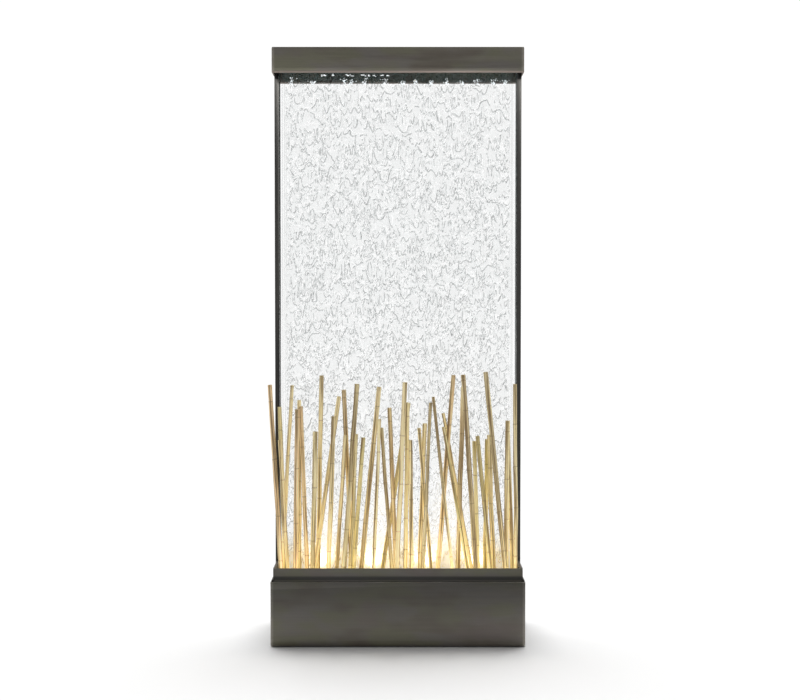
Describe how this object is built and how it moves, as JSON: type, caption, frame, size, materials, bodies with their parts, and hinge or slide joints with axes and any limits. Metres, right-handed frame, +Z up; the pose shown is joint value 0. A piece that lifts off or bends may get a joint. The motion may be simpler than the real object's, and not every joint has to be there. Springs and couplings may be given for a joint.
{
  "type": "tabletop water wall fountain",
  "caption": "Tabletop water wall: clear pane between slim side rails, lift-off hood with spray bar, box base with reservoir, pump, lamps and a bed of slanted reeds.",
  "frame": {"origin": "centre of the base's outline, on the table under the rubber feet", "axes": "+Z up along the glass, +Y to the back, front with the reeds faces -Y, +X to the viewer's right"},
  "size_m": [0.3085, 0.1512, 0.72],
  "materials": {
    "bronze_sheet": "brushed dark bronze, satin",
    "rail_metal": "dark bronze, semi-gloss",
    "inner_metal": "plain sheet, dull",
    "screw_steel": "bright steel",
    "black_rubber": "matte",
    "black_plastic": "matte moulded",
    "cable_black": "smooth sheath",
    "contact_brass": "plated",
    "clear_glass": "clear, polished",
    "seal_grey": "translucent grey",
    "impeller_blue": "moulded",
    "dial_grey": "moulded",
    "ceramic": "polished ceramic",
    "hose_dark": "satin",
    "lamp_metal": "turned, satin",
    "lamp_board": "white solder mask and yellow emitter",
    "lamp_lens": "frosted, warm",
    "foam_dark": "open-cell foam, dark",
    "bamboo": "dried bamboo, satin"
  },
  "bodies": {
    "base": {"base_skirt": "bronze_sheet", "base_floor": "inner_metal", "rubber_feet": "black_rubber", "foot_screws": "screw_steel", "tub_standoffs": "black_plastic", "standoff_screws": "screw_steel", "reservoir_tub": "bronze_sheet", "skirt_spacers": "black_plastic", "dc_inlet": "black_plastic", "dc_inlet_pin": "contact_brass", "dc_inlet_nut": "screw_steel", "wire_splitter": "black_plastic", "supply_cable": "cable_black", "pump_cable": "cable_black", "lamp_cable": "cable_black", "cable_grommets": "black_rubber", "rail_left": "rail_metal", "rail_right": "rail_metal", "rail_screws": "screw_steel", "top_bar": "inner_metal", "top_bar_screws": "screw_steel", "glass_pane": "clear_glass", "glass_seal_left": "seal_grey", "glass_seal_right": "seal_grey", "glass_foot": "inner_metal", "glass_pads": "black_rubber", "pump_body": "black_plastic", "pump_cover": "black_plastic", "pump_shaft": "ceramic", "pump_bushes": "black_rubber", "suction_cups": "black_rubber", "pump_hose": "hose_dark", "hose_clamps": "screw_steel", "riser_elbow_lower": "black_plastic", "riser_elbow_upper": "black_plastic", "spray_bar": "black_plastic", "spray_bar_cap": "black_rubber", "spray_bar_clips": "inner_metal", "lamp_bracket": "inner_metal", "lamp_housings": "lamp_metal", "lamp_boards": "lamp_board", "lamp_lenses": "lamp_lens", "hood_beams": "inner_metal", "hood_pads": "black_rubber"},
    "hood": {"hood_shell": "bronze_sheet"},
    "reed_bed": {"reed_tray": "inner_metal", "reed_foam": "foam_dark", "reeds_row_1": "bamboo", "reeds_row_2": "bamboo", "reeds_row_3": "bamboo", "reeds_row_4": "bamboo", "reeds_row_5": "bamboo", "reeds_row_6": "bamboo"},
    "impeller": {"impeller": "impeller_blue"},
    "flow_dial": {"flow_dial": "dial_grey"}
  },
  "joints": [
    {"name": "hood_lift", "type": "slide", "parent": "base", "child": "hood", "axis": [0, 0, 1], "range_m": [0, 0.08]},
    {"name": "reed_bed_lift", "type": "slide", "parent": "base", "child": "reed_bed", "axis": [0, 0, 1], "range_m": [0, 0.12]},
    {"name": "impeller_spin", "type": "hinge", "parent": "base", "child": "impeller", "pos_m": [0.085, 0.036, 0.046], "axis": [1, 0, 0], "continuous": true},
    {"name": "flow_dial_turn", "type": "hinge", "parent": "base", "child": "flow_dial", "pos_m": [0.065, 0.036, 0.046], "axis": [1, 0, 0], "range_deg": [0, 30]}
  ]
}
